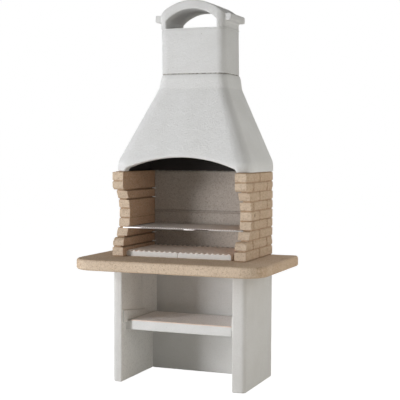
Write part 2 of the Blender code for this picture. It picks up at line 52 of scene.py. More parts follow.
class Socket:
    # wraps a node's output, so that sums written on it add Math nodes
    def __init__(self, graph, output):
        self.graph = graph
        self.output = output

    def math(self, operation, *values):
        return self.graph.node("Math", {"operation": operation}, dict(enumerate(values)))

    def __add__(self, other):
        return self.math("ADD", self, other)

    def __radd__(self, other):
        return self.math("ADD", other, self)

    def __sub__(self, other):
        return self.math("SUBTRACT", self, other)

    def __rsub__(self, other):
        return self.math("SUBTRACT", other, self)

    def __mul__(self, other):
        return self.math("MULTIPLY", self, other)

    def __rmul__(self, other):
        return self.math("MULTIPLY", other, self)

    def above(self, edge, blur):
        # 0 below the edge and 1 above it, with a soft step between
        return self.graph.node("MapRange", {"interpolation_type": "SMOOTHSTEP"},
                               {"Value": self, "From Min": edge - blur, "From Max": edge + blur})

    def below(self, edge, blur):
        return 1 - self.above(edge, blur)


class Graph:
    # one material and its nodes
    def __init__(self, name):
        self.material = bpy.data.materials.new(name)
        self.material.use_nodes = True
        self.tree = self.material.node_tree
        self.shader = self.tree.nodes["Principled BSDF"]
        self.place = self.node("TexCoord", {}, {}, "Object")

    # any node: its settings are set first, then the values or links of its sockets
    def node(self, kind, settings, sockets, output=0):
        made = self.tree.nodes.new("ShaderNode" + kind)
        for key, value in settings.items():
            setattr(made, key, value)
        for key, value in sockets.items():
            self.feed(made.inputs[key], value)
        return Socket(self, made.outputs[output])

    def feed(self, socket, value):
        if isinstance(value, Socket):
            self.tree.links.new(value.output, socket)
        elif socket.type == "RGBA" and len(value) == 3:
            socket.default_value = (*value, 1)
        else:
            socket.default_value = value

    def noise(self, size, detail):
        # noise whose features measure about the given size
        return self.node("TexNoise", {}, {"Vector": self.place, "Scale": 1 / size, "Detail": detail}, "Fac")

    def grains(self, size, output="Distance"):
        return self.node("TexVoronoi", {}, {"Vector": self.place, "Scale": 1 / size}, output)

    def part(self, vector, axis):
        return self.node("SeparateXYZ", {}, {0: vector}, axis)

    def facing(self, axis):
        # how squarely the surface faces along an axis, from -1 to 1
        return self.part(self.node("NewGeometry", {}, {}, "Normal"), axis)

    def inward(self):
        # 1 on the side faces that look towards the middle from over 0.3 m away
        return (self.facing("X") * self.part(self.place, "X")).below(-0.24, 0.06)

    def seen(self):
        # 1 for what the camera sees itself, in a mirror or through glass
        path = self.tree.nodes.new("ShaderNodeLightPath")
        camera, glossy, through = (Socket(self, path.outputs[f"Is {ray} Ray"])
                                   for ray in ("Camera", "Glossy", "Transmission"))
        return camera.math("MAXIMUM", camera.math("MAXIMUM", camera, glossy), through)

    def mix(self, share, first, second):
        return self.node("Mix", {"data_type": "RGBA"}, {0: share, 6: first, 7: second}, 2)

    def attribute(self, name):
        return self.node("Attribute", {"attribute_name": name}, {}, "Fac")

    def bump(self, height, depth, below=None):
        sockets = {"Height": height, "Distance": depth}
        if below:
            sockets["Normal"] = below
        return self.node("Bump", {}, sockets)

    def finish(self, **sockets):
        for key, value in sockets.items():
            self.feed(self.shader.inputs[key.replace("_", " ")], value)
        return self.material


whiteLook = {
    "colour": (0.800, 0.800, 0.792), "drift": (0.735, 0.733, 0.718), "pore": (0.42, 0.40, 0.37),
    "grainSize": 0.0024, "mottleSize": 0.010, "cloudSize": 0.16, "relief": 0.0046,
    "poreSize": 0.030, "poreShare": 0.10, "poreEdge": 0.075, "poreDepth": 0.0015,
    "coating": (0.020, 0.017, 0.016), "top": None, "inner": None,
}
# the base is a shade darker than the hood; its faces towards the middle are painted much lighter, as painted
# light inside the base
baseLook = {
    **whiteLook, "colour": (0.715, 0.708, 0.692), "drift": (0.655, 0.646, 0.622),
    "inner": (0.940, 0.925, 0.890),
}
# the chimney's castings are painted a little darker than the hood: painted shade, standing in for the light
# that falls more on the hood's sloped front than on their upright faces
chimneyLook = {**whiteLook, "colour": (0.745, 0.745, 0.738), "drift": (0.684, 0.682, 0.668)}
# the shelf's top is painted paler, partly its own pinkish tone and partly painted light, with a peach line
# of fresh cement along its front arris
shelfLook = {
    **whiteLook, "top": (0.985, 0.945, 0.940), "gloss": 0.62,
    "line": (0.900, 0.720, 0.610), "lineWidth": 0.011, "waver": 0.004,
}


def makeWhiteConcrete(name, look):
    graph = Graph(name)
    clouds = graph.noise(look["cloudSize"], 3)
    mottle = graph.noise(look["mottleSize"], 3)
    grain = graph.noise(look["grainSize"], 2)
    colour = graph.mix(clouds.above(0.52, 0.22) * 0.7, look["colour"], look["drift"])
    if look["top"]:
        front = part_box("base_shelf")[0].y
        up = graph.facing("Z")
        y = graph.part(graph.place, "Y") + look["waver"] * mottle
        flat = up.above(0.50, 0.30)
        # painted light: faces that look upward get the paler top colour
        colour = graph.mix(flat, colour, look["top"])
        line = up.above(0.25, 0.15) * y.below(front + look["lineWidth"], look["waver"])
        colour = graph.mix(line * 0.85, colour, look["line"])
    # painted light: the faces towards the middle get the lighter inner colour
    if look["inner"]:
        colour = graph.mix(graph.inward(), colour, look["inner"])
    colour = graph.mix(mottle.above(0.58, 0.14) * 0.40, colour, look["drift"])
    colour = graph.mix(grain.above(0.64, 0.10) * 0.26, colour, look["pore"])
    # a pore sits in some cells only, where that cell's own random value is low
    cell = graph.part(graph.grains(look["poreSize"], "Color"), "X")
    pore = graph.grains(look["poreSize"]).below(look["poreEdge"], 0.03) * cell.below(look["poreShare"], 0.01)
    # painted shade: the pores are darkened with the pore colour
    colour = graph.mix(pore * 0.75, colour, look["pore"])
    edge = graph.attribute("edge")
    # painted shade: corners and creases, where the edge value is below 0, are darkened towards the drift
    # colour
    colour = graph.mix(edge.below(-0.10, 0.10) * 0.25, colour, look["drift"])
    # the black heat-proof coat inside the hood
    coat = graph.attribute("inside").above(0.5, 0.3)
    colour = graph.mix(coat, colour, look["coating"])
    normal = graph.bump(mottle * 0.50 + grain * 0.60, look["relief"])
    normal = graph.bump(1 - pore, look["poreDepth"], normal)
    rough = 0.86 + 0.10 * grain
    if look["top"]:
        rough = rough - flat * look["gloss"]
    return graph.finish(Base_Color=colour, Roughness=rough, Normal=normal)


sandLook = {
    "colour": (0.540, 0.390, 0.262), "pale": (0.675, 0.540, 0.405), "dark": (0.290, 0.183, 0.106),
    "joint": (0.430, 0.280, 0.170), "head": (0.330, 0.190, 0.100), "hole": (0.110, 0.060, 0.040),
    "paintedFrontLight": (0.760, 0.655, 0.530), "paintedInnerShade": (0.600, 0.350, 0.210),
    "grainSize": 0.0026, "crumbSize": 0.0055, "mottleSize": 0.014, "cloudSize": 0.11, "relief": 0.0028,
    "poreSize": 0.024, "poreShare": 0.16, "poreEdge": 0.085, "poreDepth": 0.0020,
}


def makeSandConcrete(name, look):
    graph = Graph(name)
    clouds = graph.noise(look["cloudSize"], 3)
    mottle = graph.noise(look["mottleSize"], 3)
    grain = graph.part(graph.grains(look["grainSize"], "Color"), "X")
    crumb = graph.part(graph.grains(look["crumbSize"], "Color"), "Y")
    colour = graph.mix(clouds.above(0.50, 0.25) * 0.35, look["colour"], look["pale"])
    # front faces are painted paler as painted light, the faces towards the fire browner as painted shade
    colour = graph.mix((-1 * graph.facing("Y")).above(0.72, 0.22) * 0.45, colour, look["paintedFrontLight"])
    colour = graph.mix(graph.inward() * 0.65, colour, look["paintedInnerShade"])
    colour = graph.mix(graph.attribute("joint") * 0.9, colour, look["joint"])
    colour = graph.mix(graph.attribute("head") * 0.9, colour, look["head"])
    colour = graph.mix(mottle.above(0.56, 0.16) * 0.22, colour, look["dark"])
    colour = graph.mix(grain.above(0.72, 0.06) * 0.38, colour, look["pale"])
    colour = graph.mix(grain.below(0.16, 0.06) * 0.45, colour, look["dark"])
    colour = graph.mix(crumb.above(0.90, 0.03) * 0.45, colour, look["pale"])
    colour = graph.mix(crumb.below(0.08, 0.03) * 0.45, colour, look["dark"])
    cell = graph.part(graph.grains(look["poreSize"], "Color"), "X")
    pore = graph.grains(look["poreSize"]).below(look["poreEdge"], 0.03) * cell.below(look["poreShare"], 0.01)
    # painted shade: the pores are darkened with the dark colour
    colour = graph.mix(pore * 0.8, colour, look["dark"])
    edge = graph.attribute("edge")
    # painted shade: corners and creases, where the edge value is below 0, are darkened
    colour = graph.mix(edge.below(-0.10, 0.10) * 0.35, colour, look["dark"])
    colour = graph.mix(edge.above(0.14, 0.10) * 0.30, colour, look["pale"])
    # painted shade: the bottoms of the blowholes are darkened
    colour = graph.mix(graph.attribute("hole") * 0.9, colour, look["hole"])
    height = mottle * 0.4 + grain * 0.25 + graph.noise(look["crumbSize"], 3) * 0.5
    normal = graph.bump(height, look["relief"])
    normal = graph.bump(1 - pore, look["poreDepth"], normal)
    return graph.finish(Base_Color=colour, Roughness=0.84 + 0.12 * grain, Normal=normal)


slabLook = {
    "colour": (0.430, 0.382, 0.335), "pale": (0.530, 0.485, 0.438), "dark": (0.205, 0.172, 0.142),
    "paintedLight": (0.620, 0.555, 0.485), "paintedLightLevel": 0.915, "levelBlur": 0.05,
    "paintedLightPlace": 0.12, "placeBlur": 0.12,
    "grainSize": 0.0030, "crumbSize": 0.0065, "mottleSize": 0.016, "cloudSize": 0.15, "relief": 0.0020,
}


def makeFireConcrete(name, look):
    graph = Graph(name)
    clouds = graph.noise(look["cloudSize"], 3)
    mottle = graph.noise(look["mottleSize"], 3)
    grain = graph.part(graph.grains(look["grainSize"], "Color"), "X")
    crumb = graph.part(graph.grains(look["crumbSize"], "Color"), "Y")
    colour = graph.mix(clouds.above(0.50, 0.25) * 0.30, look["colour"], look["pale"])
    # the low right part is painted pale, as painted light
    low = graph.part(graph.place, "Z").below(look["paintedLightLevel"], look["levelBlur"])
    right = graph.part(graph.place, "X").above(look["paintedLightPlace"], look["placeBlur"])
    colour = graph.mix(low * right, colour, look["paintedLight"])
    colour = graph.mix(mottle.above(0.55, 0.18) * 0.12, colour, look["dark"])
    colour = graph.mix(grain.above(0.75, 0.06) * 0.40, colour, look["pale"])
    colour = graph.mix(grain.below(0.16, 0.06) * 0.50, colour, look["dark"])
    colour = graph.mix(crumb.below(0.07, 0.03) * 0.30, colour, look["dark"])
    colour = graph.mix(crumb.above(0.92, 0.03) * 0.40, colour, look["pale"])
    edge = graph.attribute("edge")
    # painted shade: corners and creases, where the edge value is below 0, are darkened
    colour = graph.mix(edge.below(-0.12, 0.10) * 0.4, colour, look["dark"])
    colour = graph.mix(graph.attribute("pointing") * 0.30, colour, look["dark"])
    normal = graph.bump(mottle * 0.5 + grain * 0.3, look["relief"])
    return graph.finish(Base_Color=colour, Roughness=0.88 + 0.08 * grain, Normal=normal)


hearthLook = {
    "top": (0.990, 0.870, 0.800), "topDark": (0.900, 0.760, 0.690), "front": (0.660, 0.645, 0.615),
    "tip": (0.930, 0.850, 0.760), "ribEnd": (0.960, 0.830, 0.690),
    "roughness": 0.90, "topRoughness": 0.55, "ribHeight": 0.0045, "waver": 0.004,
    "mottleSize": 0.010, "grainSize": 0.003, "relief": 0.0010,
}


def makeHearthConcrete(name, look):
    graph = Graph(name)
    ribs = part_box("left_hearth_slab")[1].z - look["ribHeight"]
    waver = look["waver"]
    z = graph.part(graph.place, "Z")
    mottle = graph.noise(look["mottleSize"], 3)
    grain = graph.noise(look["grainSize"], 2)
    flat = graph.facing("Z").above(0.55, 0.25)
    top = graph.mix(mottle.above(0.5, 0.2), look["top"], look["topDark"])
    top = graph.mix((z + waver * mottle).above(ribs + waver, waver / 2) * 0.5, top, look["tip"])
    face = graph.mix(grain.above(0.6, 0.1) * 0.3, look["front"], look["topDark"])
    # the front ends of the ribs are paler
    face = graph.mix((z + waver / 2 * mottle).above(ribs, waver / 4) * 0.9, face, look["ribEnd"])
    # the faces that look up get the top colour: their own pinkish tone, made paler as painted light
    colour = graph.mix(flat, face, top)
    edge = graph.attribute("edge")
    colour = graph.mix(edge.above(0.10, 0.08) * 0.5, colour, look["tip"])
    normal = graph.bump(mottle * 0.5 + grain * 0.4, look["relief"])
    ends = {"To Min": look["roughness"], "To Max": look["topRoughness"]}
    rough = graph.node("MapRange", {}, {"Value": flat, **ends})
    return graph.finish(Base_Color=colour, Roughness=rough + 0.06 * grain, Normal=normal)


mortarLook = {
    "colour": (0.430, 0.410, 0.375), "dark": (0.160, 0.145, 0.125),
    "grainSize": 0.003, "lumpSize": 0.012, "relief": 0.003,
}
brownLook = {**mortarLook, "colour": (0.500, 0.340, 0.215), "dark": (0.400, 0.262, 0.160)}


def makeMortar(name, look):
    graph = Graph(name)
    lumps = graph.noise(look["lumpSize"], 3)
    grain = graph.noise(look["grainSize"], 2)
    colour = graph.mix(lumps.above(0.5, 0.15), look["colour"], look["dark"])
    normal = graph.bump(lumps * 0.6 + grain * 0.4, look["relief"])
    return graph.finish(Base_Color=colour, Roughness=0.9 + 0.08 * grain, Normal=normal)


# heat has browned the grill; its wires, its loop and parts of its front rod are still bright
grillLook = {
    "colour": (0.170, 0.145, 0.125), "dull": (0.110, 0.092, 0.080), "bright": (0.930, 0.900, 0.880),
    "streakSize": 0.02, "grainSize": 0.0015, "relief": 0.0002, "soot": 0.38, "roughness": 0.38,
}
clipLook = {
    **grillLook, "colour": (0.62, 0.59, 0.56), "dull": (0.46, 0.43, 0.40), "soot": 0, "roughness": 0.40,
}


def makeSteel(name, look):
    graph = Graph(name)
    bright = graph.attribute("bright")
    streaks = graph.noise(look["streakSize"], 3)
    grain = graph.noise(look["grainSize"], 2)
    colour = graph.mix(streaks.above(0.52, 0.18), look["colour"], look["dull"])
    colour = graph.mix(bright, colour, look["bright"])
    rough = look["roughness"] + 0.16 * streaks + 0.06 * grain + look["soot"] * (1 - bright)
    normal = graph.bump(grain, look["relief"])
    metal = 1 - look["soot"] * 1.5 * (1 - bright)
    return graph.finish(Base_Color=colour, Metallic=metal, Roughness=rough, Normal=normal)


whiteConcrete = makeWhiteConcrete("whiteConcrete", whiteLook)
baseConcrete = makeWhiteConcrete("baseConcrete", baseLook)
chimneyConcrete = makeWhiteConcrete("chimneyConcrete", chimneyLook)
shelfConcrete = makeWhiteConcrete("shelfConcrete", shelfLook)
sandConcrete = makeSandConcrete("sandConcrete", sandLook)
fireConcrete = makeFireConcrete("fireConcrete", slabLook)
hearthConcrete = makeHearthConcrete("hearthConcrete", hearthLook)
mortarMix = makeMortar("mortarMix", mortarLook)
brownMortar = makeMortar("brownMortar", brownLook)
grillChrome = makeSteel("grillChrome", grillLook)
clipSteel = makeSteel("clipSteel", clipLook)
print("materials: done")


# Pieces

def cadForm(node):
    form = bmesh.new()
    form.from_mesh(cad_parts[node].data)
    bmesh.ops.remove_doubles(form, verts=form.verts, dist=1e-6)
    return form


def addPiece(name, form, material, nodes, body="masonry"):
    mesh = bpy.data.meshes.new(name)
    form.to_mesh(mesh)
    form.free()
    return placePiece(name, mesh, material, nodes, body)


def placePiece(name, mesh, material, nodes, body="masonry"):
    piece = bpy.data.objects.new(name, mesh)
    bpy.context.scene.collection.objects.link(piece)
    mesh.materials.clear()
    mesh.materials.append(material)
    mesh.shade_smooth()
    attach(piece, body)
    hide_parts(*nodes)
    return piece


def appliedMesh(piece):
    # the mesh that the modifiers give, with none of them left
    bpy.context.view_layer.update()
    graph = bpy.context.evaluated_depsgraph_get()
    return bpy.data.meshes.new_from_object(piece.evaluated_get(graph))


def cloudTexture(size):
    texture = bpy.data.textures.new("unevenSkin", "CLOUDS")
    texture.noise_scale = size
    texture.noise_depth = 1
    return texture


def meshArrays(mesh):
    places = np.zeros(len(mesh.vertices) * 3)
    mesh.vertices.foreach_get("co", places)
    normals = np.zeros(len(mesh.vertices) * 3)
    mesh.vertices.foreach_get("normal", normals)
    pairs = np.zeros(len(mesh.edges) * 2, int)
    mesh.edges.foreach_get("vertices", pairs)
    return places.reshape(-1, 3), normals.reshape(-1, 3), pairs.reshape(-1, 2)


def edgeSharpness(mesh, voxel):
    # how far each point stands proud of its neighbours, in voxels
    # above 0 on an arris, below 0 in a corner
    places, normals, pairs = meshArrays(mesh)
    count = len(places)
    ends = np.concatenate([pairs[:, 0], pairs[:, 1]])
    others = np.concatenate([pairs[:, 1], pairs[:, 0]])
    number = np.maximum(np.bincount(ends, minlength=count), 1)
    mean = np.stack([np.bincount(ends, places[others, axis], count) for axis in range(3)], 1)
    proud = ((places - mean / number[:, None]) * normals).sum(1) / voxel
    for _ in range(2):  # spread over the near points
        proud = 0.5 * proud + 0.5 * np.bincount(ends, proud[others], count) / number
    return proud


# Flakes: how fine and strong their second noise is, and how fast they deepen with it
flakes = {"fineScale": 2.7, "fineShare": 0.5, "growth": 4}


def chipArrises(mesh, sharpness, chips):
    # knocks small flakes off the arrises, deeper where the noise is high
    places, normals, _ = meshArrays(mesh)
    for index in np.nonzero(sharpness > chips["edge"])[0]:
        spot = Vector(places[index]) / chips["size"]
        knock = noise.noise(spot) + flakes["fineShare"] * noise.noise(spot * flakes["fineScale"])
        if knock > chips["level"]:
            depth = min((knock - chips["level"]) * chips["depth"] * flakes["growth"], chips["depth"])
            places[index] -= normals[index] * depth * min(sharpness[index] / chips["edge"] / 2, 1)
    mesh.vertices.foreach_set("co", places.ravel())
    mesh.update()


# Glued pieces show no gap at their seams
seams = {"sideReach": 0.006, "frontReach": 0.0025, "shelfReach": 0.0012}


def closeSeams(node, form):
    low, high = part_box(node)
    for vert in form.verts:
        if node == "back_panel":
            vert.co.x += math.copysign(seams["sideReach"], vert.co.x)
            if vert.co.y < (low.y + high.y) / 2:
                vert.co.y -= seams["frontReach"]
        elif node == "base_shelf":
            vert.co.x += math.copysign(seams["shelfReach"], vert.co.x)


# The brick pattern of the pillars: course height, joint widths, places of the upright joints
bricks = {
    "pitch": 0.0549, "bed": 0.0070, "head": 0.024, "blur": 0.0030,
    "heads": ((0.240,), (0.126, 0.380)), "facing": 0.6,
}


def jointShare(mesh):
    # shares of bed joint and of upright joint: 1 in the joint, 0 on the bricks and the inner face
    places, normals, _ = meshArrays(mesh)
    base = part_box("left_pillar_lower")[0].z
    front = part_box("left_side_panel")[0].y
    courses = (places[:, 2] - base) / bricks["pitch"]
    bed = abs(courses - courses.round()) * bricks["pitch"] - bricks["bed"] / 2
    head = np.full(len(places), 1.0)
    for odd, spots in enumerate(bricks["heads"]):
        beside = np.min([abs(places[:, 1] - front - spot) for spot in spots], 0) - bricks["head"] / 2
        head = np.where(np.floor(courses) % 2 == odd, np.minimum(head, beside), head)
    inner = normals[:, 0] * np.sign(places[:, 0]) < -bricks["facing"]
    frontal = normals[:, 1] < -bricks["facing"]
    bedShare, headShare = (np.clip(0.5 - away / bricks["blur"] / 2, 0, 1) for away in (bed, head))
    return np.where(inner, 0, bedShare), np.where(inner | frontal, 0, headShare)


def coatShare(mesh, coat):
    # 1 deeper behind the hood's outer skin than the wall is thick, at the vertex's own height
    places, _, _ = meshArrays(mesh)
    level = (places[:, 2] / coat["band"]).astype(int)
    level -= level.min()
    half = np.zeros(level.max() + 1)
    np.maximum.at(half, level, abs(places[:, 0]))
    front = np.full(level.max() + 1, np.inf)
    np.minimum.at(front, level, places[:, 1])
    rear = np.full(level.max() + 1, -np.inf)
    np.maximum.at(rear, level, places[:, 1])
    deep = np.minimum(half[level] - abs(places[:, 0]), places[:, 1] - front[level])
    deep = np.minimum(deep, rear[level] - places[:, 1])
    return np.clip((deep - coat["wall"]) / coat["blur"] + 0.5, 0, 1)


def sinkHoles(mesh, holes):
    # blowholes in the face of a casting; gives 1 at their bottoms
    places, normals, _ = meshArrays(mesh)
    deepest = np.zeros(len(places))
    for hole in holes:
        away = np.linalg.norm(places - np.array(hole["place"]), axis=1) / hole["radius"]
        share = np.clip(1 - away ** 2, 0, 1)
        places -= normals * (hole["depth"] * share)[:, None]
        deepest = np.maximum(deepest, share)
    mesh.vertices.foreach_set("co", places.ravel())
    mesh.update()
    return deepest


def setAttribute(mesh, name, values):
    attribute = mesh.attributes.new(name, "FLOAT", "POINT")
    attribute.data.foreach_set("value", np.ascontiguousarray(values, np.float32))


def addCasting(node, material, cast):
    # the CAD solid as a real casting: worn arrises, an uneven skin, a few chips
    form = cadForm(node)
    closeSeams(node, form)
    rough = bpy.data.meshes.new(node + "_rough")
    form.to_mesh(rough)
    form.free()
    blank = bpy.data.objects.new(node + "_blank", rough)
    bpy.context.scene.collection.objects.link(blank)
    remesh = blank.modifiers.new("remesh", "REMESH")
    remesh.mode = "VOXEL"
    remesh.voxel_size = cast["voxel"]
    wear = blank.modifiers.new("wear", "SMOOTH")
    wear.factor = 0.5
    wear.iterations = cast["wear"]
    for size, depth in cast["skin"]:
        skin = blank.modifiers.new("skin", "DISPLACE")
        skin.texture = cloudTexture(size)
        skin.texture_coords = "LOCAL"
        skin.strength = depth
        skin.mid_level = 0.5
    mesh = appliedMesh(blank)
    bpy.data.objects.remove(blank)
    if "holes" in cast:
        setAttribute(mesh, "hole", sinkHoles(mesh, cast["holes"]))
    sharpness = edgeSharpness(mesh, cast["voxel"])
    chipArrises(mesh, sharpness, cast["chips"])
    setAttribute(mesh, "edge", sharpness)
    if "pillar" in node:
        bedShare, headShare = jointShare(mesh)
        setAttribute(mesh, "joint", bedShare)
        setAttribute(mesh, "head", headShare)
    if "coat" in cast:
        setAttribute(mesh, "inside", coatShare(mesh, cast["coat"]))
    placePiece(node + "_casting", mesh, material, [node])
    print(f"{node}: {len(mesh.polygons) * 2} triangles")


whiteCast = {
    "voxel": 0.0042, "wear": 2, "skin": ((0.055, 0.0012), (0.012, 0.0005)),
    "chips": {"edge": 0.10, "size": 0.014, "level": 0.30, "depth": 0.0025},
}
hoodCast = {**whiteCast, "voxel": 0.0055, "coat": {"wall": 0.047, "band": 0.008, "blur": 0.004}}
brickCast = {
    "voxel": 0.0024, "wear": 1, "skin": ((0.030, 0.0010), (0.008, 0.0006)),
    "chips": {"edge": 0.12, "size": 0.009, "level": 0.28, "depth": 0.0025},
    "holes": (
        {"place": (0.414, 0.0237, 0.9929), "radius": 0.0125, "depth": 0.0060},
        {"place": (0.364, -0.0500, 1.0730), "radius": 0.0080, "depth": 0.0060},
    ),
}
worktopCast = {
    "voxel": 0.0048, "wear": 3, "skin": ((0.060, 0.0012), (0.011, 0.0006)),
    "chips": {"edge": 0.08, "size": 0.012, "level": 0.30, "depth": 0.0020},
}
slabCast = {
    "voxel": 0.0040, "wear": 1, "skin": ((0.050, 0.0010), (0.010, 0.0006)),
    "chips": {"edge": 0.10, "size": 0.010, "level": 0.25, "depth": 0.0025},
}
hearthCast = {
    "voxel": 0.0030, "wear": 2, "skin": ((0.030, 0.0012), (0.009, 0.0012)),
    "chips": {"edge": 0.10, "size": 0.010, "level": 0.15, "depth": 0.0030},
}

addCasting("hood", whiteConcrete, hoodCast)
for node in ("chimney_shaft", "chimney_cap"):
    addCasting(node, chimneyConcrete, whiteCast)
for node in ("left_side_panel", "right_side_panel", "back_panel"):
    addCasting(node, baseConcrete, whiteCast)
addCasting("base_shelf", shelfConcrete, whiteCast)
for node in ("left_pillar_lower", "left_pillar_upper", "right_pillar_lower", "right_pillar_upper"):
    addCasting(node, sandConcrete, brickCast)
addCasting("worktop", sandConcrete, worktopCast)
for node in ("lower_back_slab", "upper_back_slab"):
    addCasting(node, fireConcrete, slabCast)
for node in ("left_hearth_slab", "right_hearth_slab"):
    addCasting(node, hearthConcrete, hearthCast)
print("castings: done")


# Mortar beds with a crumbly edge; the cap's comes out furthest, and the back slabs' waist is pointed
mortarBed = {
    "spacing": 0.012, "crumble": 0.0022, "crumbSize": 0.010, "flat": 0.01, "outerShare": 0.44,
    "reach": {"cap_mortar": 0.0042, "shaft_mortar": 0.0010, "left_pillar_waist_mortar": 0.0025,
              "right_pillar_waist_mortar": 0.0025},
    "fill": 0.0014, "ragged": {"shaft_mortar": 0.0060}, "whiteBed": "cap_mortar",
    "pointing": {"node": "back_slab_waist_mortar", "height": 0.018, "proud": 0.0012, "depth": 0.010,
                 "spans": 120, "ripple": 0.0016, "rippleSize": 0.03, "rippleTurn": 90},
}


def addMortarBed(node):
    form = cadForm(node)
    bmesh.ops.dissolve_limit(form, angle_limit=mortarBed["flat"], verts=form.verts, edges=form.edges)
    longest = [edge for edge in form.edges if edge.calc_length() > mortarBed["spacing"] * 2]
    for edge in longest:
        cuts = int(edge.calc_length() / mortarBed["spacing"])
        bmesh.ops.subdivide_edges(form, edges=[edge], cuts=cuts, use_grid_fill=False)
    low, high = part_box(node)
    middle = (low + high) / 2
    reach = mortarBed["reach"].get(node, 0)
    crumble = mortarBed["ragged"].get(node, mortarBed["crumble"])
    for vert in form.verts:
        away = Vector((vert.co.x - middle.x, vert.co.y - middle.y, 0))
        outwards = max(abs(away.x) / (high.x - low.x), abs(away.y) / (high.y - low.y))
        bulge = crumble * noise.noise(vert.co / mortarBed["crumbSize"])
        bulge += reach * (outwards > mortarBed["outerShare"])
        vert.co += away.normalized() * bulge
        vert.co.z += math.copysign(mortarBed["fill"], vert.co.z - middle.z) * bool(reach)
    bmesh.ops.triangulate(form, faces=form.faces)
    material = mortarMix
    if "pillar" in node:
        material = brownMortar
    elif node == mortarBed["whiteBed"]:
        material = whiteConcrete
    if node == mortarBed["pointing"]["node"]:
        addPointing(form, low, high)
        material = fireConcrete
    bed = addPiece(node + "_bed", form, material, [node])
    if material == fireConcrete:
        setAttribute(bed.data, "pointing", np.ones(len(bed.data.vertices)))


def addPointing(form, low, high):
    # mortar smeared over the joint, a thumb wide and hardly proud of the slabs
    pointing = mortarBed["pointing"]
    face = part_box("upper_back_slab")[0].y - pointing["proud"]
    strip = bmesh.new()
    bmesh.ops.create_grid(strip, x_segments=pointing["spans"], y_segments=1, size=0.5)
    solid = bmesh.ops.extrude_face_region(strip, geom=strip.faces[:])
    for item in solid["geom"]:
        if isinstance(item, bmesh.types.BMVert):
            item.co.z = 1
    bmesh.ops.recalc_face_normals(strip, faces=strip.faces)
    centre = (low.z + high.z) / 2
    for vert in strip.verts:
        x = low.x + (vert.co.x + 0.5) * (high.x - low.x)
        rise = vert.co.y * pointing["height"]
        spot = Vector((x / pointing["rippleSize"], rise * pointing["rippleTurn"], 0))
        rise += pointing["ripple"] * noise.noise(spot)
        depth = pointing["depth"] if vert.co.z > 0.5 else 0
        vert.co = (x, face + depth, centre + rise)
    bmesh.ops.recalc_face_normals(strip, faces=strip.faces)
    addPart(form, strip, Matrix.Identity(4))


def addPart(form, part, place):
    # joins a small part to the form, moved to its place
    mesh = bpy.data.meshes.new("part")
    part.to_mesh(mesh)
    part.free()
    mesh.transform(place)
    form.from_mesh(mesh)
    bpy.data.meshes.remove(mesh)


for node in sorted(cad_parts):
    if node.endswith("_mortar"):
        addMortarBed(node)
print("mortar: done")


# Clips that hold the back slabs
clip = {"bend": 0.0004, "segments": 2, "flat": 0.01, "sharp": 40}


def addClip(node):
    form = cadForm(node)
    bmesh.ops.dissolve_limit(form, angle_limit=clip["flat"], verts=form.verts, edges=form.edges)
    bmesh.ops.bevel(form, geom=form.edges[:], offset=clip["bend"], affect="EDGES", segments=clip["segments"],
                    profile=0.5, material=-1)
    piece = addPiece(node + "_bent", form, clipSteel, [node])
    piece.data.set_sharp_from_angle(angle=math.radians(clip["sharp"]))


for node in sorted(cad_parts):
    if "_clip_" in node:
        addClip(node)
print("clips: done")


# Grill
grill = {
    "rod": 0.007, "rodSides": 16, "wire": 0.004, "wireSides": 10, "wires": 45, "depth": 0.366,
    "sideInset": 0.0175, "fieldGap": 0.004, "weld": 0.0032, "weldFlat": 0.6, "sunk": 0.001,
    "endBevel": 0.15, "sharp": 50,
    "handleRod": 0.005, "handlePlace": 0.052, "handleWidth": 0.058, "handleReach": 0.024,
    # how bright the wires are, and the front rod from place to place; the wires' tips shine
    "tip": 0.0035, "tipTone": 0.1, "toneBlend": 0.002, "overRods": 0.0002, "besideRod": 0.6,
    "wireTone": 0.75,
    "tones": ((-0.27, 1), (-0.25, 0.25), (0.08, 0.25), (0.09, 0), (0.16, 0), (0.17, 0.45)),
}


def addRod(form, start, end, diameter, sides, cuts=()):
    # a round rod with softened ends; cuts are distances along it where its tone changes
    start, end = Vector(start), Vector(end)
    rod = bmesh.new()
    bmesh.ops.create_cone(rod, cap_ends=True, segments=sides, radius1=diameter / 2, radius2=diameter / 2,
                          depth=(end - start).length)
    rims = [edge for edge in rod.edges if abs(edge.verts[0].co.z - edge.verts[1].co.z) < diameter / 4]
    bmesh.ops.bevel(rod, geom=rims, offset=diameter * grill["endBevel"], affect="EDGES", segments=2,
                    profile=0.5, material=-1)
    for cut in cuts:
        bmesh.ops.bisect_plane(rod, geom=[*rod.verts, *rod.edges, *rod.faces],
                               plane_co=(0, 0, cut - (end - start).length / 2), plane_no=(0, 0, 1))
    turn = Vector((0, 0, 1)).rotation_difference(end - start).to_matrix().to_4x4()
    addPart(form, rod, Matrix.Translation((start + end) / 2) @ turn)


def addWeld(form, place, size):
    weld = bmesh.new()
    bmesh.ops.create_icosphere(weld, subdivisions=1, radius=size)
    addPart(form, weld, Matrix.Translation(place) @ Matrix.Diagonal((1, 1, grill["weldFlat"], 1)))


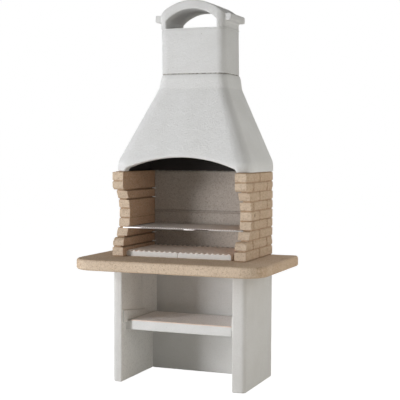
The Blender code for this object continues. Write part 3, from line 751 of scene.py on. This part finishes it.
def addGrill():
    low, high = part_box("grill")
    axis = high.z - grill["wire"] - grill["rod"] / 2 + grill["sunk"]
    front = low.y + grill["handleReach"] + grill["handleRod"] / 2
    rear = front + grill["depth"]
    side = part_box("grill")[1].x - grill["sideInset"]
    form = bmesh.new()
    addRod(form, (low.x, front, axis), (high.x, front, axis), grill["rod"], grill["rodSides"],
           [place - low.x for place, tone in grill["tones"]])
    for x in (-side, side):
        addRod(form, (x, front, axis), (x, rear, axis), grill["rod"], grill["rodSides"])
    for y in (front + grill["depth"] / 2, rear):
        addRod(form, (-side, y, axis), (side, y, axis), grill["rod"], grill["rodSides"])
    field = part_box("left_pillar_lower")[1].x + grill["fieldGap"]
    pitch = -2 * field / (grill["wires"] + 1)
    lift = axis + (grill["rod"] + grill["wire"]) / 2 - grill["sunk"]
    for index in range(grill["wires"]):
        x = field + (index + 1) * pitch
        addRod(form, (x, front - grill["rod"] / 2 - grill["tip"], lift), (x, rear + grill["rod"] / 2, lift),
               grill["wire"], grill["wireSides"], (grill["tip"], grill["tip"] + grill["toneBlend"]))
        for y in (front, front + grill["depth"] / 2, rear):
            addWeld(form, (x, y, lift - grill["wire"] / 2), grill["weld"])
    left = grill["handlePlace"] - grill["handleWidth"] / 2
    right = grill["handlePlace"] + grill["handleWidth"] / 2
    reach = front - grill["handleReach"]
    for x in (left, right):
        addRod(form, (x, reach, axis), (x, front, axis), grill["handleRod"], grill["rodSides"])
        addWeld(form, (x, front, axis + grill["rod"] / 2), grill["weld"])
    addRod(form, (left, reach, axis), (right, reach, axis), grill["handleRod"], grill["rodSides"])
    piece = addPiece("grill_wirework", form, grillChrome, ["grill"], "grill")
    places, _, _ = meshArrays(piece.data)
    wires = places[:, 2] > axis + grill["rod"] / 2 + grill["overRods"]
    loop = places[:, 1] < front - grill["rod"]
    tips = wires & (places[:, 1] < front - grill["rod"] / 2 + grill["toneBlend"] / 2)
    stops = np.array(grill["tones"])
    along = np.interp(places[:, 0], stops[:, 0], stops[:, 1])
    frontRod = ~wires & (abs(places[:, 1] - front) < grill["rod"] * grill["besideRod"])
    tone = np.where(wires, grill["wireTone"], np.where(frontRod, along, 0))
    setAttribute(piece.data, "bright", np.where(loop | (tips & (along > grill["tipTone"])), 1, tone))
    piece.data.set_sharp_from_angle(angle=math.radians(grill["sharp"]))


addGrill()
print("grill: done")


# Floor, light and camera
studio = {
    "world": 0.160, "worldColour": (1.0, 0.985, 0.940), "floorSize": 60, "aim": 1.0,
    "floorColour": (0.98, 0.955, 0.91), "floorGlow": 0.965, "floorShade": 0.22,
    # each soft box: bearing from the front in degrees, distance, height, width, tallness and power
    "lamps": {
        "key": (-43.5, 6.5, 1.0, 1.9, 1.1, 230),
        "keyHigh": (-43.5, 6.5, 2.6, 1.9, 1.2, 86),
        "side": (97, 2.5, 1.1, 2.0, 1.6, 16),
        "quarter": (52, 3.2, 2.0, 2.0, 1.8, 13),
        "low": (20, 2.2, 0.12, 2.4, 0.2, 2.5),
        "top": (0, 0.5, 4.5, 3.0, 3.0, 3),
        "back": (170, 3.5, 2.2, 2.0, 2.0, 28),
    },
    "lampColours": {"key": (0.985, 1.0, 1.035), "keyHigh": (0.985, 1.0, 1.035)},
    "fillColour": (1.0, 0.99, 0.955),
}


def addFloor():
    form = bmesh.new()
    bmesh.ops.create_grid(form, x_segments=1, y_segments=1, size=studio["floorSize"] / 2)
    mesh = bpy.data.meshes.new("floor")
    form.to_mesh(mesh)
    form.free()
    floor = bpy.data.objects.new("floor", mesh)
    bpy.context.scene.collection.objects.link(floor)
    graph = Graph("paleFloor")
    plain = graph.node("BsdfDiffuse", {}, {"Color": studio["floorColour"]})
    shade = graph.node("BsdfDiffuse", {}, {"Color": (studio["floorShade"],) * 3})
    glow = graph.node("Emission", {}, {"Color": (1, 1, 1), "Strength": studio["floorGlow"]})
    white = graph.node("AddShader", {}, {0: shade, 1: glow})
    surface = graph.node("MixShader", {}, {0: graph.seen(), 1: plain, 2: white})
    graph.tree.links.new(surface.output, graph.tree.nodes["Material Output"].inputs["Surface"])
    mesh.materials.append(graph.material)


def addWorld():
    world = bpy.data.worlds.new("studio")
    bpy.context.scene.world = world
    world.use_nodes = True
    tree = world.node_tree
    back = tree.nodes["Background"]
    path = tree.nodes.new("ShaderNodeLightPath")
    total = tree.nodes.new("ShaderNodeMath")
    total.operation = "MAXIMUM"
    tree.links.new(path.outputs["Is Camera Ray"], total.inputs[0])
    tree.links.new(path.outputs["Is Glossy Ray"], total.inputs[1])
    reach = tree.nodes.new("ShaderNodeMapRange")
    reach.inputs["To Min"].default_value = studio["world"]
    reach.inputs["To Max"].default_value = 1
    tree.links.new(total.outputs[0], reach.inputs["Value"])
    tree.links.new(reach.outputs[0], back.inputs["Strength"])
    tint = tree.nodes.new("ShaderNodeMix")
    tint.data_type = "RGBA"
    tint.inputs[6].default_value = (*studio["worldColour"], 1)
    tint.inputs[7].default_value = (1, 1, 1, 1)
    tree.links.new(total.outputs[0], tint.inputs[0])
    tree.links.new(tint.outputs[2], back.inputs["Color"])


def addSoftBox(name, bearing, distance, height, width, tallness, power):
    lamp = bpy.data.lights.new(name, "AREA")
    lamp.shape = "RECTANGLE"
    lamp.size = width
    lamp.size_y = tallness
    lamp.energy = power
    lamp.color = studio["lampColours"].get(name, studio["fillColour"])
    box = bpy.data.objects.new(name, lamp)
    bpy.context.scene.collection.objects.link(box)
    turn = math.radians(bearing)
    place = Vector((math.sin(turn) * distance, -math.cos(turn) * distance, height))
    box.location = place
    box.rotation_euler = (place - Vector((0, 0, studio["aim"]))).to_track_quat("Z", "Y").to_euler()


lens = {
    "place": (2.26327, -5.51197, 1.375), "focal": 92.333, "sensor": 36,
    "turn": 21.5515, "tilt": -2.8881, "roll": 0.2513,
}


def addCamera():
    data = bpy.data.cameras.new("camera")
    data.lens = lens["focal"]
    data.sensor_width = lens["sensor"]
    camera = bpy.data.objects.new("camera", data)
    bpy.context.scene.collection.objects.link(camera)
    turn = Matrix.Rotation(math.radians(lens["turn"]), 4, "Z")
    tilt = Matrix.Rotation(math.radians(90 + lens["tilt"]), 4, "X")
    roll = Matrix.Rotation(math.radians(lens["roll"]), 4, "Z")
    camera.matrix_world = Matrix.Translation(lens["place"]) @ turn @ tilt @ roll
    bpy.context.scene.camera = camera


addFloor()
addWorld()
for name, settings in studio["lamps"].items():
    addSoftBox(name, *settings)
addCamera()
bpy.context.scene.view_settings.view_transform = "Standard"
print("studio: done")
